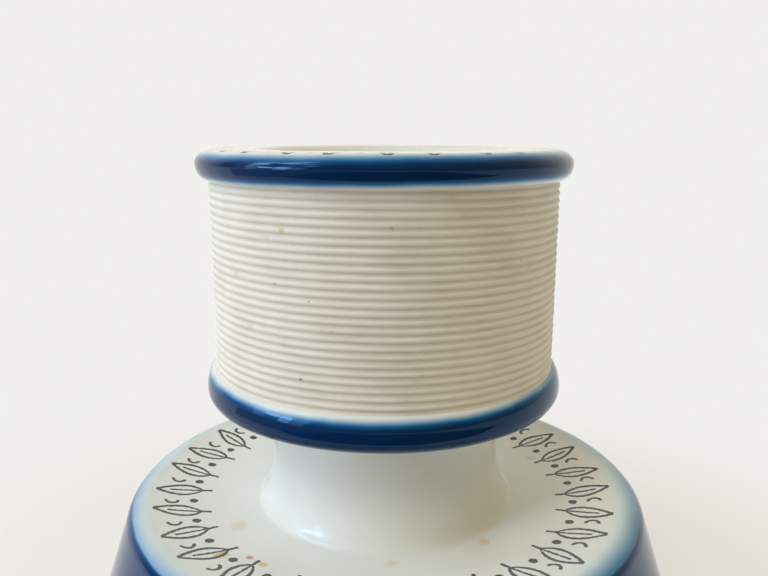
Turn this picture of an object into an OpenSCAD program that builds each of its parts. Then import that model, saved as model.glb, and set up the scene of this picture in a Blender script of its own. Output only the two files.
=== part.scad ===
// Porcelain match holder and striker for a bar top.
// A ribbed, unglazed striking drum with a well for matches stands on a hollow neck
// and a wide, open-bottomed base. Each luted clay section is a module of its own.
// Origin: centre of the foot, on the surface it stands on. +Z is up, along the axis.

/* [Overall] */
// Height from the foot to the flat top
height = 100; // [90:1:120]
// Thickness of the cast porcelain wall
wall = 4.2; // [3.5:0.1:5]
// Depth of the stepped joint between two luted sections
joint_step = 1.2; // [0.8:0.1:1.6]

/* [Match well] */
// Radius of the well that holds the matches
well_r = 19; // [16:0.5:20]
// Depth of the well below the flat top
well_depth = 37; // [34:0.5:38]
// Wall of the inner cup
cup_wall = 3; // [2.5:0.1:3.4]
// Rounding of the well's mouth
mouth_round = 4; // [2:0.5:5]

/* [Striking drum] */
// Radius at the bottom of the grooves
groove_r = 29.8; // [29:0.1:31]
// Height of a rib above the groove
rib_depth = 0.45; // [0.3:0.05:0.6]
// Distance from one groove to the next
rib_pitch = 1.277; // [1.1:0.001:1.3]
// Number of grooves
groove_count = 26; // [20:1:27]

/* [Beads] */
// Outer radius of the bead round the top
top_bead_r = 32.3; // [31.5:0.1:34]
// Height of the bead round the top
top_bead_h = 5; // [4:0.1:6]
// Outer radius of the bead under the drum
low_bead_r = 31.8; // [31.4:0.1:34]
// Height of the bead under the drum
low_bead_h = 6.1; // [5:0.1:6.6]

/* [Neck] */
// Outer radius of the neck's straight part
neck_r = 20.6; // [20:0.1:22]
// How far the neck's foot flares out
flare_w = 3.6; // [2.5:0.1:5]
// Height over which the neck flares
flare_h = 15; // [10:0.5:17]

/* [Base] */
// Height of the shoulder where it meets the neck
shoulder_z = 35.85; // [34:0.05:37]
// Radius of the shoulder's raised edge at its crest
rim_r = 43.9; // [42:0.1:46]
// Rounding of the raised edge
rim_round = 3.5; // [3:0.1:4.5]
// Height of the crest above the shoulder
rim_rise = 2.4; // [1.5:0.05:2.6]
// Outward slope of the skirt, as width over height
skirt_slope = 0.33; // [0.2:0.01:0.4]
// Height of the unglazed foot ring
foot_h = 4; // [3:0.5:6]
// Rounding of the foot's edges
foot_round = 1; // [0.5:0.1:1.4]

/* [Hidden] */

arc_steps = 10;
rib_steps = 6;
glaze_white = "whitesmoke";
cobalt = "midnightblue";
bisque = "antiquewhite";

// Heights of the joints between the sections
drum_top = height - top_bead_h;
first_groove = drum_top - 0.3;
rib_r = groove_r + rib_depth;
drum_low = first_groove - rib_pitch * (groove_count - 1) - 0.5;
collar_low = drum_low - low_bead_h;
floor_t = 3.6;
collar_floor = collar_low + floor_t;

// Radii inside the drum
sleeve_in = groove_r - wall + 0.2;
cup_out = well_r + cup_wall;
neck_in = neck_r - wall;
spigot_t = 1.5;
spigot_r = neck_in + spigot_t;

// The skirt leaves the rim's rounding where the two slopes agree
skirt_angle = atan(skirt_slope);
rim_cz = shoulder_z + rim_rise - rim_round;
edge_r = rim_r + rim_round * cos(skirt_angle);
edge_z = rim_cz + rim_round * sin(skirt_angle);
flare_r = neck_r + flare_w;
plate_t = wall + 0.4;
plate_low = shoulder_z - plate_t;
skirt_top = plate_low + joint_step;
lip_in = rim_r - 4;

// The shoulder is a shallow dish: its arc is tangent to the flat at the neck and to the rim
dish_w = rim_r - flare_r;
dish_gap = shoulder_z - rim_cz;
dish_r = (pow(dish_w, 2) + pow(dish_gap, 2) - pow(rim_round, 2)) / (2 * (rim_round - dish_gap));
dish_angle = asin(dish_w / (dish_r + rim_round));

// Points of an elliptical arc in the profile plane
function arc(r, z, rr, rz, from, to, steps = arc_steps) =
    [for (i = [0:steps]) let (a = from + (to - from) * i / steps) [r + rr * cos(a), z + rz * sin(a)]];

// Outer radius of the skirt at height z, and its inner face
function skirt_r(z) = edge_r + skirt_slope * (edge_z - z);
function skirt_in(z) = skirt_r(z) - wall / cos(skirt_angle);

// One rounded rib from the groove above it to the groove below it
function rib(z_top) =
    [for (i = [0:rib_steps - 1]) let (a = 180 * i / rib_steps)
        [groove_r + rib_depth * pow(sin(a), 0.6), z_top - rib_pitch * (1 - cos(a)) / 2]];

module turned(profile) {
    rotate_extrude($fn = 96) polygon(profile);
}

// Flat top with its rolled blue bead; a spigot below it centres the drum's sleeve
module top_ring() {
    bead_mid = height - 0.46 * top_bead_h;
    flat_r = top_bead_r - 3.3;
    color(cobalt) turned(concat(
        [[well_r, drum_top]],
        arc(well_r + mouth_round, height - mouth_round, mouth_round, mouth_round, 180, 90),
        arc(flat_r, bead_mid, top_bead_r - flat_r, height - bead_mid, 90, 0),
        arc(rib_r, bead_mid, top_bead_r - rib_r, bead_mid - drum_top, -9, -90),
        [[sleeve_in, drum_top], [sleeve_in, drum_top - joint_step],
         [sleeve_in - spigot_t, drum_top - joint_step], [sleeve_in - spigot_t, drum_top]]
    ));
}

// Inner cup that holds the matches, hung between the top ring and the collar's floor
module well_cup() {
    well_floor = height - well_depth;
    corner = 2;
    color(glaze_white) turned(concat(
        [[0, collar_floor], [cup_out, collar_floor], [cup_out, drum_top], [well_r, drum_top]],
        arc(well_r - corner, well_floor + corner, corner, corner, 0, -90, 5),
        [[0, well_floor]]
    ));
}

// Unglazed sleeve with the ribs that the match is struck on
module striker_drum() {
    ribs_low = first_groove - rib_pitch * (groove_count - 1);
    color(bisque) turned(concat(
        [[sleeve_in, drum_low], [sleeve_in, drum_top], [rib_r, drum_top]],
        [for (k = [0:groove_count - 2]) each rib(first_groove - rib_pitch * k)],
        [[groove_r, ribs_low], [rib_r, drum_low + 0.2], [rib_r, drum_low]]
    ));
}

// Blue bead under the drum, with the floor that carries the cup
module lower_collar() {
    bead_mid = drum_low - 0.58 * low_bead_h;
    turn_in = 2.8;
    color(cobalt) turned(concat(
        [[spigot_r, collar_low], [spigot_r, collar_floor], [sleeve_in - spigot_t, collar_floor],
         [sleeve_in - spigot_t, drum_low + joint_step], [sleeve_in, drum_low + joint_step],
         [sleeve_in, drum_low]],
        arc(rib_r, bead_mid, low_bead_r - rib_r, drum_low - bead_mid, 90, 8),
        arc(low_bead_r - turn_in, bead_mid, turn_in, bead_mid - collar_low, 0, -90)
    ));
}

// Hollow neck that flares into the shoulder; its spigot enters the collar's floor
module neck() {
    top_fillet = 2;
    seat = shoulder_z - plate_t / 2;
    color(glaze_white) turned(concat(
        [[neck_in, seat], [neck_in, collar_floor], [spigot_r, collar_floor], [spigot_r, collar_low]],
        arc(neck_r + top_fillet, collar_low - top_fillet, top_fillet, top_fillet, 90, 180, 5),
        arc(flare_r, shoulder_z + flare_h, flare_w, flare_h, 180, 270, 16),
        [[flare_r, seat]]
    ));
}

// Shallow dished plate with a raised, rounded edge
module shoulder() {
    seat = shoulder_z - plate_t / 2;
    color(glaze_white) turned(concat(
        [[neck_in, plate_low], [neck_in, seat], [flare_r, seat]],
        arc(flare_r, shoulder_z + dish_r, dish_r, dish_r, -90, -90 + dish_angle, 16),
        arc(rim_r, rim_cz, rim_round, rim_round, 90 + dish_angle, skirt_angle, 14),
        [[skirt_r(skirt_top), skirt_top], [lip_in, skirt_top], [lip_in, plate_low]]
    ));
}

// Conical wall of the base
module skirt() {
    color(glaze_white) turned([
        [skirt_in(foot_h), foot_h], [skirt_r(foot_h), foot_h], [skirt_r(skirt_top), skirt_top],
        [lip_in, skirt_top], [lip_in, plate_low], [skirt_in(plate_low - 3) - 2, plate_low],
        [skirt_in(plate_low - 3), plate_low - 3]
    ]);
}

// Unglazed ring that the base stands on
module foot_ring() {
    outer = skirt_r(0);
    inner = skirt_in(foot_h);
    color(bisque) turned(concat(
        [[inner, foot_h]],
        arc(inner + foot_round, foot_round, foot_round, foot_round, 180, 270, 5),
        arc(outer - foot_round, foot_round, foot_round, foot_round, -90, skirt_angle, 6),
        [[skirt_r(foot_h), foot_h]]
    ));
}

top_ring();
well_cup();
striker_drum();
lower_collar();
neck();
shoulder();
skirt();
foot_ring();
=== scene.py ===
"""Porcelain match holder and striker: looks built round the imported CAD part.

The object's measures are in millimetres, and MM turns them into metres. The camera, the floor,
the cards and the lights are placed in metres.
"""
import math

import bmesh
import bpy
import numpy as np
from mathutils import Matrix, Vector


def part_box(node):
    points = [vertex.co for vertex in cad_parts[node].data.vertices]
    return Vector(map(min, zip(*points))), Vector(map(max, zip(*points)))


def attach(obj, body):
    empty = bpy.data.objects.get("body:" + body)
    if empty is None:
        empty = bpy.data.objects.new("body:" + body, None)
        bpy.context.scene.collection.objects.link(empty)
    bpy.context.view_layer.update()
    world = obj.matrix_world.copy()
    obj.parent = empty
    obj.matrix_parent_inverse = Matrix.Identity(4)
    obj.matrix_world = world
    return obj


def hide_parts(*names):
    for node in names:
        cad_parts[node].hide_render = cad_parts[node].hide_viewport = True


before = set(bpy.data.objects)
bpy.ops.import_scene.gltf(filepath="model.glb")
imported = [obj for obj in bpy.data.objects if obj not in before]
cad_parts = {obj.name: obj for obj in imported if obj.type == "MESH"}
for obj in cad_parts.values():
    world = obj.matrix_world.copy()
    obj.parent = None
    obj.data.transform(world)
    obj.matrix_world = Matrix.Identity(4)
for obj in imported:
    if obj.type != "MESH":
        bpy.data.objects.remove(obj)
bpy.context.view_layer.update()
MM = 0.001


# ---------------------------------------------------------------- measures
def edge(node, top):
    """Height of a node's top or bottom."""
    lo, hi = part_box(node)
    return (hi.z if top else lo.z) / MM


def radius(node):
    """Outer radius of a round node."""
    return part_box(node)[1].y / MM


TOP = edge("top_ring", True)
DRUM_TOP = edge("striker_drum", True)
DRUM_LOW = edge("striker_drum", False)
COLLAR_LOW = edge("lower_collar", False)
COLLAR_FLOOR = edge("well_cup", False)
TOP_BEAD_R = radius("top_ring")
LOW_BEAD_R = radius("lower_collar")
NECK_SEAT = edge("neck", False)
PLATE_LOW = edge("shoulder", False)
FOOT_TOP = edge("foot_ring", True)
WALL, STEP, MOUTH = 4.2, 1.2, 4.0
WELL_R, WELL_DEPTH, CUP_OUT = 19.0, 37.0, 22.0
GROOVE_R, RIB_DEPTH, RIB_PITCH, GROOVES = 29.8, 0.45, 1.277, 26
RIB_R = GROOVE_R + RIB_DEPTH
SLEEVE_IN, SPIGOT = 25.8, 1.5
NECK_R, NECK_IN, SPIGOT_R = 20.6, 16.4, 17.9
FLARE_W, FLARE_H, FLARE_R = 3.6, 15.0, 24.2
SHOULDER_Z, RIM_R, RIM_ROUND, RIM_CZ = 35.85, 43.9, 3.5, 34.75
SLOPE = 0.33
SKIRT_A = math.degrees(math.atan(SLOPE))
EDGE_R = RIM_R + RIM_ROUND * math.cos(math.radians(SKIRT_A))
EDGE_Z = RIM_CZ + RIM_ROUND * math.sin(math.radians(SKIRT_A))
SKIRT_TOP = PLATE_LOW + STEP
LIP_IN = RIM_R - 4
CUP_CORNER, FOOT_ROUND, NECK_FILLET = 2.0, 1.0, 2.0
FLAT_IN = 3.3  # the top is flat up to this far inside its bead
TURN_IN = 2.8  # the lower bead turns under by this much
DISH_W, DISH_GAP = RIM_R - FLARE_R, SHOULDER_Z - RIM_CZ
DISH_R = (DISH_W**2 + DISH_GAP**2 - RIM_ROUND**2) / (2 * (RIM_ROUND - DISH_GAP))
DISH_A = math.degrees(math.asin(DISH_W / (DISH_R + RIM_ROUND)))


# ---------------------------------------------------------------- turned meshes
def arc(r, z, rr, rz, a0, a1, n):
    """Points of an elliptical arc about (r, z), from a0 to a1 degrees, with both ends."""
    t = np.radians(np.linspace(a0, a1, n + 1))
    return [(r + rr * math.cos(a), z + rz * math.sin(a)) for a in t]


def line(a, b, n):
    """Points between a and b, without either end."""
    return [(a[0] + (b[0] - a[0]) * i / n, a[1] + (b[1] - a[1]) * i / n) for i in range(1, n)]


def skirt_r(z):
    """Radius of the skirt's outer face at height z."""
    return EDGE_R + SLOPE * (EDGE_Z - z)


def skirt_in(z):
    """Radius of the skirt's inner face at height z."""
    return skirt_r(z) - WALL / math.cos(math.radians(SKIRT_A))


OFF_AXIS = 0.42  # the base sits a touch off the drum's axis


def hand_made(co):
    """Small waviness of fired clay, the same for every piece, so that their joints stay closed."""
    x, y, z = co[:, 0] / MM, co[:, 1] / MM, co[:, 2] / MM
    a = np.arctan2(y, x)
    r = np.hypot(x, y)
    away_from_axis = np.clip((r - 12) / 10, 0, 1)
    out = (0.05 * np.sin(2 * a + 0.9) + 0.03 * np.sin(3 * a + 0.06 * z)
           + 0.012 * np.sin(11 * a + 0.4 * z)) * away_from_axis
    up = 0.05 * np.sin(a + 2.1) + 0.03 * np.sin(3 * a + 0.4) + 0.012 * np.sin(7 * a + 1.0)
    up *= np.clip(z / 20, 0, 1) * away_from_axis
    k = np.where(r > 1e-6, (r + out) / np.maximum(r, 1e-6), 1)
    low = np.clip((57 - z) / 18, 0, 1)
    aside = OFF_AXIS * low * low * (3 - 2 * low) * MM
    return np.stack([co[:, 0] * k + aside, co[:, 1] * k, co[:, 2] + up * MM], 1)


def turned(name, profile, segs=360, shape=None, sharp=35):
    """A closed solid of revolution, crisp where the profile turns by more than sharp degrees.

    Points of the profile at radius 0 become poles. shape moves the points before hand_made does.
    """
    verts, rings = [], []
    ang = np.linspace(0, 2 * math.pi, segs, endpoint=False)
    for r, z in profile:
        if r < 1e-6:
            rings.append([len(verts)])
            verts.append((0.0, 0.0, z))
        else:
            rings.append(list(range(len(verts), len(verts) + segs)))
            verts += [(r * math.cos(a), r * math.sin(a), z) for a in ang]
    co = np.array(verts) * MM
    if shape:
        co = shape(co)
    co = hand_made(co)
    faces = []
    n = len(profile)
    for i in range(n):
        a, b = rings[i], rings[(i + 1) % n]
        if len(a) == 1 and len(b) == 1:
            continue
        for j in range(segs):
            k = (j + 1) % segs
            if len(a) == 1:
                faces.append((a[0], b[k], b[j]))
            elif len(b) == 1:
                faces.append((a[j], a[k], b[0]))
            else:
                faces.append((a[j], a[k], b[k], b[j]))
    area = sum(p[0] * q[1] - q[0] * p[1] for p, q in zip(profile, profile[1:] + profile[:1]))
    if area > 0:
        faces = [f[::-1] for f in faces]
    mesh = bpy.data.meshes.new(name)
    mesh.from_pydata([tuple(c) for c in co], [], faces)
    mesh.validate()
    mesh.polygons.foreach_set("use_smooth", np.ones(len(mesh.polygons), bool))
    # the rings at the profile's corners become sharp edges
    corner_ring = np.full(len(verts), -1)
    for i in range(n):
        (x0, y0), (x1, y1), (x2, y2) = profile[i - 1], profile[i], profile[(i + 1) % n]
        a0, a1 = math.atan2(y1 - y0, x1 - x0), math.atan2(y2 - y1, x2 - x1)
        turn = abs((math.degrees(a1 - a0) + 180) % 360 - 180)
        if turn > sharp and len(rings[i]) > 1:
            corner_ring[rings[i]] = i
    ends = np.zeros(len(mesh.edges) * 2, np.int32)
    mesh.edges.foreach_get("vertices", ends)
    e = corner_ring[ends.reshape(-1, 2)]
    attribute = mesh.attributes.new("sharp_edge", "BOOLEAN", "EDGE")
    attribute.data.foreach_set("value", (e[:, 0] >= 0) & (e[:, 0] == e[:, 1]))
    mesh.update()
    obj = bpy.data.objects.new(name, mesh)
    bpy.context.scene.collection.objects.link(obj)
    return obj


# ---------------------------------------------------------------- node helpers
class Nodes:
    """A material's or world's node tree. Its methods add nodes and return an output socket."""

    def __init__(self, name, world=False):
        if world:
            self.owner = bpy.data.worlds.new(name)
        else:
            self.owner = bpy.data.materials.new(name)
        self.owner.use_nodes = True
        self.tree = self.owner.node_tree
        self.tree.nodes.clear()

    def add(self, kind, **values):
        node = self.tree.nodes.new(kind)
        for k, v in values.items():
            setattr(node, k, v)
        return node

    def put(self, socket, value):
        """Link a socket's input to another socket, or give it a constant."""
        if isinstance(value, bpy.types.NodeSocket):
            self.tree.links.new(value, socket)
        else:
            socket.default_value = value

    def math(self, op, a, b=0.0):
        node = self.add("ShaderNodeMath", operation=op)
        for socket, value in zip(node.inputs, (a, b)):
            self.put(socket, value)
        return node.outputs[0]

    def times(self, *values):
        product = values[0]
        for value in values[1:]:
            product = self.math("MULTIPLY", product, value)
        return product

    def plus(self, a, b):
        return self.math("ADD", a, b)

    def minus(self, a, b):
        return self.math("SUBTRACT", a, b)

    def remap(self, value, a, b, c=0.0, d=1.0, smooth=True):
        """c to d as value goes from a to b, held at both ends."""
        node = self.add("ShaderNodeMapRange", clamp=True)
        node.interpolation_type = "SMOOTHSTEP" if smooth else "LINEAR"
        for socket, v in zip(node.inputs, (value, a, b, c, d)):
            self.put(socket, v)
        return node.outputs[0]

    def ramp(self, value, stops):
        node = self.add("ShaderNodeValToRGB")
        ramp = node.color_ramp
        while len(ramp.elements) > 1:
            ramp.elements.remove(ramp.elements[-1])
        ramp.elements[0].position = stops[0][0]
        ramp.elements[0].color = (*lin(stops[0][1]), 1)
        for at, colour in stops[1:]:
            ramp.elements.new(at).color = (*lin(colour), 1)
        self.put(node.inputs[0], value)
        return node.outputs[0]

    def noise(self, where, scale, detail=3.0, rough=0.55):
        node = self.add("ShaderNodeTexNoise")
        self.put(node.inputs["Vector"], where)
        node.inputs["Scale"].default_value = scale
        node.inputs["Detail"].default_value = detail
        node.inputs["Roughness"].default_value = rough
        return node.outputs[0]

    def mix(self, share, a, b, blend="MIX"):
        node = self.add("ShaderNodeMix", data_type="RGBA", blend_type=blend)
        self.put(node.inputs["Factor"], share)
        for socket, v in ((node.inputs[6], a), (node.inputs[7], b)):
            self.put(socket, v if isinstance(v, bpy.types.NodeSocket) else (*lin(v), 1))
        return node.outputs[2]

    def scaled(self, where, x, y, z):
        node = self.add("ShaderNodeMapping")
        self.put(node.inputs["Vector"], where)
        node.inputs["Scale"].default_value = (x, y, z)
        return node.outputs[0]

    def surface(self, colour, roughness, relief, strength, depth):
        """Finish a material: a Principled shader with bump from relief. Returns the shader."""
        shader = self.add("ShaderNodeBsdfPrincipled")
        self.put(shader.inputs["Base Color"], colour)
        self.put(shader.inputs["Roughness"], roughness)
        bump = self.add("ShaderNodeBump")
        bump.inputs["Strength"].default_value = strength
        bump.inputs["Distance"].default_value = depth
        self.put(bump.inputs["Height"], relief)
        self.put(shader.inputs["Normal"], bump.outputs[0])
        self.put(self.add("ShaderNodeOutputMaterial").inputs[0], shader.outputs[0])
        return shader


def lin(c):
    """Display colour 0-255 to scene-linear."""
    out = []
    for v in c[:3]:
        v = v / 255
        out.append(v / 12.92 if v <= 0.04045 else ((v + 0.055) / 1.055) ** 2.4)
    return tuple(out)


def place(n):
    """Object position, distance from the axis and height in mm, and x and y in metres."""
    where = n.add("ShaderNodeTexCoord").outputs["Object"]
    parts = n.add("ShaderNodeSeparateXYZ")
    n.put(parts.inputs[0], where)
    x, y, z = parts.outputs
    r = n.math("SQRT", n.plus(n.times(x, x), n.times(y, y)))
    return where, n.times(r, 1 / MM), n.times(z, 1 / MM), x, y


def wander(n, where, scale, size):
    """A noise of plus or minus about size."""
    return n.times(n.minus(n.noise(where, scale, 3), 0.5), 2 * size)


WHITE = (233, 236, 232)
UNEVEN_WHITE = (214, 214, 204)
INK = (44, 48, 44)
OCHRE, RUST, BROWN, UMBER = (214, 176, 70), (176, 122, 40), (104, 78, 52), (120, 96, 66)
# cobalt under the glaze, from none to the full coat
COBALT = [(0.0, WHITE), (0.07, (222, 231, 230)), (0.16, (198, 215, 224)), (0.3, (152, 186, 212)),
          (0.48, (88, 142, 188)), (0.65, (26, 98, 156)), (0.82, (4, 70, 124)), (1.0, (2, 38, 82))]
GLAZE_TINT = (0.3, 0.62, 1.0, 1.0)
BASE_COAT = 0.96  # the shoulder's edge and the skirt share one coat of cobalt
# stains on the shoulder: degrees round the axis, distance from the axis, size, strength, colour
STAINS = [(-149, 29, 2.2, 0.3, OCHRE), (-136, 36, 1.6, 0.75, OCHRE), (-130, 33, 0.9, 0.85, RUST),
          (-125, 33, 1.1, 0.7, OCHRE), (-87, 26, 1.5, 0.35, OCHRE), (-49, 26, 1.4, 0.4, OCHRE),
          (21, 33, 1.3, 0.4, OCHRE), (111, 33, 1.8, 0.35, OCHRE)]
# specks on the drum: degrees round the axis, height, size, strength, colour
SPECKS = [(-114, 67, 0.35, 0.9, BROWN), (-119, 89, 0.6, 0.6, OCHRE), (-122, 81, 0.4, 0.5, RUST),
          (-111, 79, 0.3, 0.6, UMBER), (-72, 72, 0.3, 0.5, RUST), (-47, 84, 0.4, 0.45, OCHRE),
          (144, 75, 0.4, 0.6, RUST)]


def around(degrees, r):
    """x and y in metres of a place at an angle round the axis, r mm from it."""
    a = math.radians(degrees)
    return r * math.cos(a) * MM, r * math.sin(a) * MM


def glaze(name, blue, print_on=None, print_from=0.0, marks=()):
    """Glossy porcelain.

    blue(n, where, r, z, x, y) says how much cobalt lies under the glaze, 0 to 1. print_on does
    the same for the printed ink, which shows only above the height print_from. marks are stains.
    """
    n = Nodes(name)
    where, r, z, x, y = place(n)
    wide = n.noise(where, 60, 3)
    fine = n.noise(where, 900, 2)
    colour = n.ramp(blue(n, where, r, z, x, y), COBALT)
    colour = n.mix(n.remap(wide, 0.35, 0.75, 0.0, 0.1), colour, UNEVEN_WHITE, "MULTIPLY")
    for degrees, out_r, size, share, tint in marks:
        cx, cy = around(degrees, out_r)
        d = n.math("SQRT", n.plus(n.math("POWER", n.minus(x, cx), 2.0),
                                  n.math("POWER", n.minus(y, cy), 2.0)))
        d = n.plus(n.times(d, 1 / MM), wander(n, where, 700, size * 0.7))
        # below the upper face the distance grows, so that a stain doesn't show underneath
        d = n.plus(d, n.remap(z, SHOULDER_Z - 2, SHOULDER_Z - 1, 9.0, 0.0))
        colour = n.mix(n.remap(d, size * 0.25, size, share, 0.0), colour, tint)
    if print_on:
        upper_face = n.remap(z, print_from, print_from + 0.5)
        colour = n.mix(n.times(print_on(n, where, r, x, y), upper_face), colour, INK)
    roughness = n.remap(n.noise(where, 160, 3), 0.3, 0.75, 0.03, 0.075)
    relief = n.plus(n.noise(where, 130, 2), n.times(fine, 0.08))
    shader = n.surface(colour, roughness, relief, strength=0.12, depth=0.0006)
    shader.inputs["Specular IOR Level"].default_value = 0.6
    shader.inputs["Specular Tint"].default_value = GLAZE_TINT
    shader.inputs["IOR"].default_value = 1.42
    return n.owner


def top_blue(n, where, r, z, x, y):
    """Round the top bead, fading into the flat top and into the drum."""
    z = n.plus(z, wander(n, where, 90, 0.3))
    z = n.plus(z, n.remap(x, 0.03, -0.03, -0.22, 0.42))  # the airbrush sat lower on this side
    upper = n.math("POWER", n.remap(z, TOP + 0.12, TOP - 1.35, smooth=False), 0.8)
    lower = n.remap(z, DRUM_TOP + 0.15, DRUM_TOP + 1.75)
    return n.times(n.math("MINIMUM", upper, lower), n.remap(r, 26.0, 29.2))


def collar_blue(n, where, r, z, x, y):
    """Round the lower bead, reaching a little higher on one side."""
    z = n.plus(z, wander(n, where, 80, 0.45))
    z = n.minus(z, n.remap(x, 0.01, 0.031, 0.0, 0.8))
    upper = n.remap(z, DRUM_LOW + 0.1, DRUM_LOW - 2.0)
    lower = n.remap(z, COLLAR_LOW + 0.1, COLLAR_LOW + 1.0)
    return n.math("MINIMUM", upper, lower)


def outside(n, r, z):
    """1 on the base's upper and outer faces, 0 on its inside."""
    cone = EDGE_R + SLOPE * EDGE_Z
    outer = n.remap(n.plus(r, n.times(z, SLOPE)), cone - 3.0, cone - 2.0)
    return n.math("MAXIMUM", outer, n.remap(z, SHOULDER_Z - 2, SHOULDER_Z - 1))


def rim_blue(n, where, r, z, x, y):
    """A fade towards the shoulder's edge, then the full coat over its brink."""
    r = n.plus(r, wander(n, where, 70, 0.7))
    fade = n.times(n.math("POWER", n.remap(r, 40.5, EDGE_R - 0.6, smooth=False), 2.4), 0.56)
    z = n.plus(z, wander(n, where, 90, 0.25))
    brink = n.times(n.remap(z, EDGE_Z + 2.0, EDGE_Z + 1.1, 0.0, BASE_COAT),
                    n.remap(r, 44.4, 45.4))
    return n.times(n.math("MAXIMUM", fade, brink), outside(n, r, z))


def skirt_blue(n, where, r, z, x, y):
    """The full coat at the top of the skirt, fading to white half-way down."""
    z = n.plus(z, wander(n, where, 60, 1.6))
    blue = n.math("POWER", n.remap(z, 15.0, SKIRT_TOP - 3.5, smooth=False), 1.3)
    return n.times(blue, BASE_COAT, outside(n, r, z))


def no_blue(n, where, r, z, x, y):
    """White, with the faintest clouds of cobalt."""
    return n.remap(n.noise(where, 50, 2), 0.6, 0.9, 0.0, 0.02)


def border(n, where, r, x, y, r0, r1, count, stroke):
    """A printed border of outlined leaves on stalks, with a berry and a curl between them.

    It fills the band from radius r0 to r1 with count leaves, in lines stroke wide.
    """
    tall, mid = r1 - r0, (r0 + r1) / 2
    pitch = 2 * math.pi * mid / count
    rough = wander(n, where, 1500, stroke * 0.35)
    # cell counts leaves round the axis; u is the distance across a leaf, which leans by turns
    cell = n.plus(n.times(n.math("ARCTAN2", y, x), count / (2 * math.pi)), 500.0)
    lean = n.minus(n.times(n.math("MODULO", n.math("FLOOR", cell), 2.0), 2.0), 1.0)
    u = n.times(n.minus(n.math("FRACT", cell), 0.5), pitch)
    u = n.minus(u, n.times(lean, n.times(n.minus(r, mid), 0.14)))
    side = n.math("ABSOLUTE", u)
    # the leaf's outline over the band's upper 82 %, with its stalk and midrib below and inside it
    t = n.remap(r, r0 + 0.18 * tall, r1, smooth=False)
    half = n.times(n.math("SINE", n.times(n.math("POWER", t, 0.75), math.pi)), 0.22 * pitch)
    outline = n.plus(n.math("ABSOLUTE", n.minus(side, half)), rough)
    ink = n.remap(outline, stroke * 0.62, stroke * 0.42)
    midrib = n.times(n.remap(n.plus(side, rough), stroke * 0.5, stroke * 0.3),
                     n.remap(r, r0 + 0.78 * tall, r0 + 0.74 * tall))
    ink = n.math("MAXIMUM", ink, midrib)
    # the berry and the curl stand half-way between two leaves, v across
    v = n.times(n.minus(n.math("FRACT", n.plus(cell, 0.5)), 0.5), pitch)

    def from_point(at):
        d = n.plus(n.math("POWER", v, 2.0), n.math("POWER", n.minus(r, at), 2.0))
        return n.plus(n.math("SQRT", d), rough)

    size = 0.085 * tall
    berry = n.remap(from_point(r0 + 0.3 * tall), size, size - 0.12)
    ink = n.math("MAXIMUM", ink, berry)
    loop = n.math("ABSOLUTE", n.minus(from_point(r0 + 0.68 * tall), 0.11 * tall))
    curl = n.times(n.remap(loop, stroke * 0.55, stroke * 0.35), n.remap(v, -0.1, 0.1))
    ink = n.math("MAXIMUM", ink, curl)
    band = n.times(n.remap(r, r0 - 0.05, r0 + 0.05), n.remap(r, r1 + 0.05, r1 - 0.05))
    worn = n.remap(n.noise(where, 420, 4, 0.65), 0.24, 0.36, 0.25, 0.95)
    return n.times(ink, band, worn)


def shoulder_print(n, where, r, x, y):
    return border(n, where, r, x, y, 32.4, 42.4, count=30, stroke=0.66)


def top_print(n, where, r, x, y):
    return border(n, where, r, x, y, 24.2, 30.5, count=26, stroke=0.8)


def bisque_material():
    """Matt, unglazed clay with residue and painted shade darkening the grooves."""
    n = Nodes("bisque")
    where, r = place(n)[:2]
    # the grooves are painted darker and tan: partly match residue, partly painted shade in place
    # of the groove shading
    groove_residue_and_shade = n.remap(n.plus(r, wander(n, where, 140, 0.08)), RIB_R - 0.25, RIB_R - 0.05, 1.0, 0.0)
    body = n.ramp(n.noise(where, 70, 4),
                  [(0.3, (230, 227, 217)), (0.55, (237, 235, 227)), (0.8, (226, 222, 209))])
    residue_and_shade_colour = n.ramp(n.noise(where, 220, 3), [(0.3, (176, 158, 126)), (0.7, (204, 190, 160))])
    colour = n.mix(n.times(groove_residue_and_shade, 0.38), body, residue_and_shade_colour)
    fleck = n.remap(n.noise(n.scaled(where, 1, 1, 1.6), 520, 2), 0.74, 0.8)
    colour = n.mix(n.times(fleck, 0.5), colour, (150, 120, 84))
    for degrees, height, size, share, tint in SPECKS:
        spot = n.add("ShaderNodeVectorMath", operation="DISTANCE")
        n.put(spot.inputs[0], where)
        spot.inputs[1].default_value = (*around(degrees, RIB_R), height * MM)
        d = n.plus(n.times(spot.outputs["Value"], 1 / MM), wander(n, where, 900, size * 0.5))
        colour = n.mix(n.remap(d, size * 0.3, size, share, 0.0), colour, tint)
    roughness = n.remap(n.noise(where, 300, 3), 0.3, 0.7, 0.55, 0.8)
    grain = n.noise(where, 2600, 3)
    shader = n.surface(colour, roughness, grain, strength=0.5, depth=0.00012)
    shader.inputs["Specular IOR Level"].default_value = 0.3
    return n.owner


def foot_material():
    """Bare clay, greyed where the foot rubs on the bar."""
    n = Nodes("bare_clay")
    where, _, z = place(n)[:3]
    body = n.ramp(n.noise(where, 120, 5),
                  [(0.3, (206, 196, 178)), (0.6, (224, 217, 202)), (0.85, (188, 172, 148))])
    worn = n.remap(n.plus(z, wander(n, where, 200, 0.3)), 0.0, 0.5, 1.0, 0.0)
    colour = n.mix(n.times(worn, 0.55), body, (134, 124, 110))
    roughness = n.remap(n.noise(where, 400, 3), 0.3, 0.7, 0.65, 0.9)
    n.surface(colour, roughness, n.noise(where, 1800, 3), strength=0.5, depth=0.0002)
    return n.owner


# ---------------------------------------------------------------- the eight sections
def finish_piece(obj, node, material):
    """Give a piece its material and body, and hide the CAD part of its node."""
    obj.data.materials.append(material)
    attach(obj, "root")
    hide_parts(node)


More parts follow.
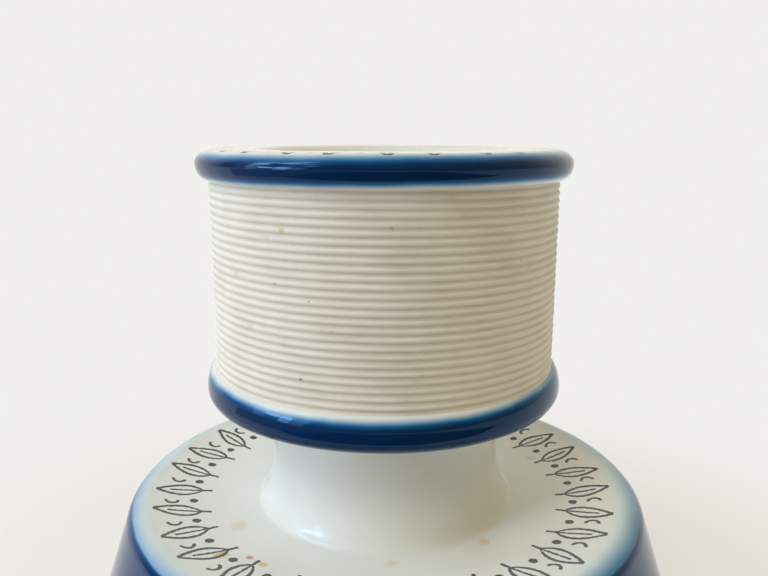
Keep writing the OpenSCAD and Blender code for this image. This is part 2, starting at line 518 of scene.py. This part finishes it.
bead_mid = TOP - 0.46 * (TOP - DRUM_TOP)
flat_r = TOP_BEAD_R - FLAT_IN
top = turned("top_ring_glazed",
             [(WELL_R, DRUM_TOP), (WELL_R, DRUM_TOP + 0.6)]
             + arc(WELL_R + MOUTH, TOP - MOUTH, MOUTH, MOUTH, 180, 90, 20)
             + line((WELL_R + MOUTH, TOP), (flat_r, TOP), 6)
             + arc(flat_r, bead_mid, TOP_BEAD_R - flat_r, TOP - bead_mid, 90, 0, 28)
             + arc(RIB_R, bead_mid, TOP_BEAD_R - RIB_R, bead_mid - DRUM_TOP, -4, -90, 24)
             + [(SLEEVE_IN, DRUM_TOP), (SLEEVE_IN, DRUM_TOP - STEP),
                (SLEEVE_IN - SPIGOT, DRUM_TOP - STEP), (SLEEVE_IN - SPIGOT, DRUM_TOP)])
finish_piece(top, "top_ring", glaze("top_glaze", top_blue, top_print, TOP - 2))

floor_z = TOP - WELL_DEPTH
cup = turned("well_cup_glazed",
             [(0, COLLAR_FLOOR), (CUP_OUT, COLLAR_FLOOR), (CUP_OUT, DRUM_TOP), (WELL_R, DRUM_TOP)]
             + line((WELL_R, DRUM_TOP), (WELL_R, floor_z + CUP_CORNER), 10)
             + arc(WELL_R - CUP_CORNER, floor_z + CUP_CORNER, CUP_CORNER, CUP_CORNER, 0, -90, 8)
             + [(10, floor_z), (0, floor_z)], segs=180)
finish_piece(cup, "well_cup", glaze("cup_glaze", no_blue))

RELIEF = 0.25  # residue and wear have filled the grooves
RIB_POINTS = 10
first = DRUM_TOP - 0.3
last = first - RIB_PITCH * (GROOVES - 1)
ribs = []
for k in range(GROOVES - 1):
    for i in range(RIB_POINTS):
        lift = (0.5 - 0.5 * math.cos(2 * math.pi * i / RIB_POINTS)) ** 0.85
        ribs.append((RIB_R - RELIEF + RELIEF * lift, first - RIB_PITCH * (k + i / RIB_POINTS)))


def rub_ribs(co):
    """Ribs as pressed and then used: uneven crests and a few small chips."""
    x, y, z = co[:, 0] / MM, co[:, 1] / MM, co[:, 2] / MM
    a, r = np.arctan2(y, x), np.hypot(x, y)
    on_ribs = r > 28
    crest = np.clip((r - RIB_R + RELIEF) / RELIEF, 0, 1) * on_ribs
    k = np.floor((first - z) / RIB_PITCH)
    wave = (0.022 * np.sin(5 * a + 1.7 * k) + 0.018 * np.sin(13 * a + 2.9 * k)
            + 0.012 * np.sin(31 * a + 4.1 * k))
    drop = np.zeros(len(r))
    rng = np.random.default_rng(7)
    for _ in range(60):
        kk, aa = rng.integers(0, GROOVES - 1), rng.uniform(-math.pi, math.pi)
        wide, depth = rng.uniform(0.008, 0.03), rng.uniform(0.04, 0.16)
        d = (a - aa + math.pi) % (2 * math.pi) - math.pi
        drop = np.maximum(drop, depth * np.exp(-((d / wide) ** 2)) * (k == kk))
    out = crest * (wave - drop)
    f = np.where(on_ribs, (r + out) / np.maximum(r, 1e-9), 1)
    return np.stack([co[:, 0] * f, co[:, 1] * f, co[:, 2]], 1)


drum = turned("striker_drum_bisque",
              [(SLEEVE_IN, DRUM_LOW), (SLEEVE_IN, DRUM_TOP), (RIB_R, DRUM_TOP)] + ribs
              + [(RIB_R - RELIEF, last), (RIB_R, DRUM_LOW + 0.2), (RIB_R, DRUM_LOW)],
              segs=380, shape=rub_ribs, sharp=80)
finish_piece(drum, "striker_drum", bisque_material())

low_mid = DRUM_LOW - 0.58 * (DRUM_LOW - COLLAR_LOW)
turn_r = LOW_BEAD_R - TURN_IN
collar = turned("lower_collar_glazed",
                [(SPIGOT_R, COLLAR_LOW), (SPIGOT_R, COLLAR_FLOOR),
                 (SLEEVE_IN - SPIGOT, COLLAR_FLOOR), (SLEEVE_IN - SPIGOT, DRUM_LOW + STEP),
                 (SLEEVE_IN, DRUM_LOW + STEP), (SLEEVE_IN, DRUM_LOW)]
                + arc(RIB_R, low_mid, LOW_BEAD_R - RIB_R, DRUM_LOW - low_mid, 90, 4, 24)
                + arc(turn_r, low_mid, TURN_IN, low_mid - COLLAR_LOW, 0, -90, 24)
                + line((turn_r, COLLAR_LOW), (SPIGOT_R, COLLAR_LOW), 8))
finish_piece(collar, "lower_collar", glaze("collar_glaze", collar_blue))

neck = turned("neck_glazed",
              [(NECK_IN, NECK_SEAT), (NECK_IN, COLLAR_FLOOR), (SPIGOT_R, COLLAR_FLOOR),
               (SPIGOT_R, COLLAR_LOW)]
              + arc(NECK_R + NECK_FILLET, COLLAR_LOW - NECK_FILLET, NECK_FILLET, NECK_FILLET,
                    90, 180, 12)
              + arc(FLARE_R, SHOULDER_Z + FLARE_H, FLARE_W, FLARE_H, 180, 270, 40)
              + [(FLARE_R, NECK_SEAT)])
finish_piece(neck, "neck", glaze("neck_glaze", no_blue))

shoulder = turned("shoulder_glazed",
                  [(NECK_IN, PLATE_LOW), (NECK_IN, NECK_SEAT), (FLARE_R, NECK_SEAT)]
                  + arc(FLARE_R, SHOULDER_Z + DISH_R, DISH_R, DISH_R, -90, -90 + DISH_A, 40)
                  + arc(RIM_R, RIM_CZ, RIM_ROUND, RIM_ROUND, 90 + DISH_A, SKIRT_A, 30)[1:]
                  + [(skirt_r(SKIRT_TOP), SKIRT_TOP), (LIP_IN, SKIRT_TOP), (LIP_IN, PLATE_LOW)])
finish_piece(shoulder, "shoulder",
             glaze("shoulder_glaze", rim_blue, shoulder_print, SHOULDER_Z - 2, STAINS))

thin_z = PLATE_LOW - 3  # below this height the skirt has its plain wall
skirt = turned("skirt_glazed",
               [(skirt_in(FOOT_TOP), FOOT_TOP), (skirt_r(FOOT_TOP), FOOT_TOP)]
               + line((skirt_r(FOOT_TOP), FOOT_TOP), (skirt_r(SKIRT_TOP), SKIRT_TOP), 24)
               + [(skirt_r(SKIRT_TOP), SKIRT_TOP), (LIP_IN, SKIRT_TOP), (LIP_IN, PLATE_LOW),
                  (skirt_in(thin_z) - 2, PLATE_LOW), (skirt_in(thin_z), thin_z)]
               + line((skirt_in(thin_z), thin_z), (skirt_in(FOOT_TOP), FOOT_TOP), 12))
finish_piece(skirt, "skirt", glaze("skirt_glaze", skirt_blue))

inner, outer = skirt_in(FOOT_TOP), skirt_r(0)
foot = turned("foot_ring_bare",
              [(inner, FOOT_TOP)]
              + arc(inner + FOOT_ROUND, FOOT_ROUND, FOOT_ROUND, FOOT_ROUND, 180, 270, 8)
              + line((inner + FOOT_ROUND, 0), (outer - FOOT_ROUND, 0), 4)
              + arc(outer - FOOT_ROUND, FOOT_ROUND, FOOT_ROUND, FOOT_ROUND, -90, SKIRT_A, 10)
              + [(skirt_r(FOOT_TOP), FOOT_TOP)])
finish_piece(foot, "foot_ring", foot_material())

# ---------------------------------------------------------------- camera
EYE_AT = (0, -0.1314, 0.10336)
LOOK_DOWN, ROLL = math.radians(12.2), 0.0034
camera = bpy.data.cameras.new("camera")
camera.sensor_width = 36
camera.lens = 34.69
camera.clip_start, camera.clip_end = 0.005, 20
eye = bpy.data.objects.new("camera", camera)
eye.matrix_world = (Matrix.Translation(EYE_AT) @ Matrix.Rotation(math.pi / 2 - LOOK_DOWN, 4, "X")
                    @ Matrix.Rotation(ROLL, 4, "Z"))
bpy.context.scene.collection.objects.link(eye)
bpy.context.scene.camera = eye
bpy.context.scene.view_settings.view_transform = "Standard"

# ---------------------------------------------------------------- surroundings
PAPER = (241, 240, 237)
FLOOR_Z = -0.0002  # a hair under the foot, so that the two faces don't fight
CARD_Z = 0.002  # the cards lie just over the paper
AIM = (0, 0, 0.07)  # the lights face this spot on the axis
# the room's colour by share of a turn: 0 straight left, 0.25 in front, 0.5 right, 0.75 behind
ROOM = [(0.0, (112, 104, 88)), (0.1, (128, 118, 96)), (0.22, (136, 118, 86)),
        (0.38, (128, 108, 74)), (0.5, (158, 140, 104)), (0.6, (216, 206, 184)),
        (0.75, (216, 214, 208)), (0.9, (210, 206, 198)), (0.96, (112, 104, 88))]
CEILING = (168, 156, 130)


def stage_floor():
    """Pale paper that shades softly near the foot and glows evenly further out."""
    mesh = bpy.data.meshes.new("floor")
    bm = bmesh.new()
    bmesh.ops.create_circle(bm, cap_ends=True, segments=128, radius=6.0)
    bm.to_mesh(mesh)
    bm.free()
    obj = bpy.data.objects.new("floor", mesh)
    obj.location.z = FLOOR_Z
    bpy.context.scene.collection.objects.link(obj)
    n = Nodes("paper")
    out = n.add("ShaderNodeOutputMaterial")
    paper = n.add("ShaderNodeBsdfDiffuse")
    paper.inputs[0].default_value = (*lin((240, 238, 233)), 1)
    glow = n.add("ShaderNodeEmission")
    glow.inputs[0].default_value = (*lin(PAPER), 1)
    blend = n.add("ShaderNodeMixShader")
    n.put(blend.inputs[0], n.remap(place(n)[1], 70.0, 170.0, 0.6, 1.0))
    n.put(blend.inputs[1], paper.outputs[0])
    n.put(blend.inputs[2], glow.outputs[0])
    n.put(out.inputs[0], blend.outputs[0])
    mesh.materials.append(n.owner)


def flag(name, points, colour):
    """A dull card that the camera doesn't see: it takes away the paper's bounce."""
    mesh = bpy.data.meshes.new(name)
    mesh.from_pydata([(x, y, CARD_Z) for x, y in points], [], [tuple(range(len(points)))])
    obj = bpy.data.objects.new(name, mesh)
    bpy.context.scene.collection.objects.link(obj)
    n = Nodes(name)
    out = n.add("ShaderNodeOutputMaterial")
    dull = n.add("ShaderNodeEmission")
    dull.inputs[0].default_value = (*lin(colour), 1)
    n.put(out.inputs[0], dull.outputs[0])
    mesh.materials.append(n.owner)
    obj.visible_camera = False
    obj.visible_shadow = False


def sky():
    """Soft room light: bright behind, warm and dim on the right and in front."""
    n = Nodes("room", world=True)
    bpy.context.scene.world = n.owner
    out = n.add("ShaderNodeOutputWorld")
    direction = n.add("ShaderNodeTexCoord").outputs["Generated"]
    parts = n.add("ShaderNodeSeparateXYZ")
    n.put(parts.inputs[0], direction)
    x, y, z = parts.outputs
    turn = n.math("ARCTAN2", n.times(y, -1.0), n.times(x, -1.0))
    turn = n.math("FRACT", n.plus(n.math("DIVIDE", turn, 2 * math.pi), 1.0))
    colour = n.mix(n.remap(z, 0.25, 0.95), n.ramp(turn, ROOM), CEILING)
    light = n.add("ShaderNodeBackground")
    n.put(light.inputs[0], colour)
    light.inputs[1].default_value = 1.35
    seen = n.add("ShaderNodeBackground")
    seen.inputs[0].default_value = (*lin(PAPER), 1)
    path = n.add("ShaderNodeLightPath")
    blend = n.add("ShaderNodeMixShader")
    n.put(blend.inputs[0], path.outputs["Is Camera Ray"])
    n.put(blend.inputs[1], light.outputs[0])
    n.put(blend.inputs[2], seen.outputs[0])
    n.put(out.inputs[0], blend.outputs[0])


def facing(at):
    """Turn of a light at a place that shines towards the object."""
    return (Vector(at) - Vector(AIM)).to_track_quat("Z", "Y").to_matrix()


def window(at, wide, high, gap, colour, panes):
    """A window as panes of light, lowest row first, with bars of width gap between them.

    Trees outside make the panes uneven, so each has its own radiance.
    """
    turn = facing(at)
    rows, columns = len(panes), len(panes[0])
    w, h = (wide + gap) / columns - gap, (high + gap) / rows - gap
    for j, row in enumerate(panes):
        for i, radiance in enumerate(row):
            data = bpy.data.lights.new(f"pane_{i}_{j}", "AREA")
            data.shape = "RECTANGLE"
            data.size, data.size_y = w, h
            data.energy = radiance * math.pi * w * h
            data.color = colour
            obj = bpy.data.objects.new(data.name, data)
            across, up = i - (columns - 1) / 2, j - (rows - 1) / 2
            shift = Vector((across * (w + gap), up * (h + gap), 0))
            obj.matrix_world = Matrix.Translation(Vector(at) + turn @ shift) @ turn.to_4x4()
            bpy.context.scene.collection.objects.link(obj)


def fill(at, size, radiance, colour):
    """The soft pale room behind the viewer: lights the front, with no highlight of its own."""
    data = bpy.data.lights.new("fill", "AREA")
    data.size = size
    data.energy = radiance * math.pi * size * size
    data.color = colour
    obj = bpy.data.objects.new("fill", data)
    obj.matrix_world = Matrix.Translation(at) @ facing(at).to_4x4()
    obj.visible_glossy = False
    bpy.context.scene.collection.objects.link(obj)


stage_floor()
sky()
flag("flag_front", [(-0.17, -0.1), (0.24, -0.1), (0.6, -1.2), (-0.5, -1.2)], (104, 92, 70))
flag("flag_left", [(-0.17, -0.1), (-0.5, -1.2), (-1.3, -0.5), (-1.3, 0.15), (-0.22, 0.02)],
     (168, 166, 160))
window((-0.733, -0.267, 0.52), 0.85, 1.05, 0.015, (0.68, 0.8, 1.0),
       [(0.4, 2, 0.4, 6, 2), (0.4, 3, 10, 13, 3), (0.4, 3, 0.4, 2, 0.4),
        (0.4, 8, 0.4, 0.4, 3), (0.4, 3, 8, 3, 0.4), (1, 0.4, 5, 0.4, 0.4)])
fill((-0.307, -0.49, 0.76), 0.3, 5.6, (1.0, 0.94, 0.82))
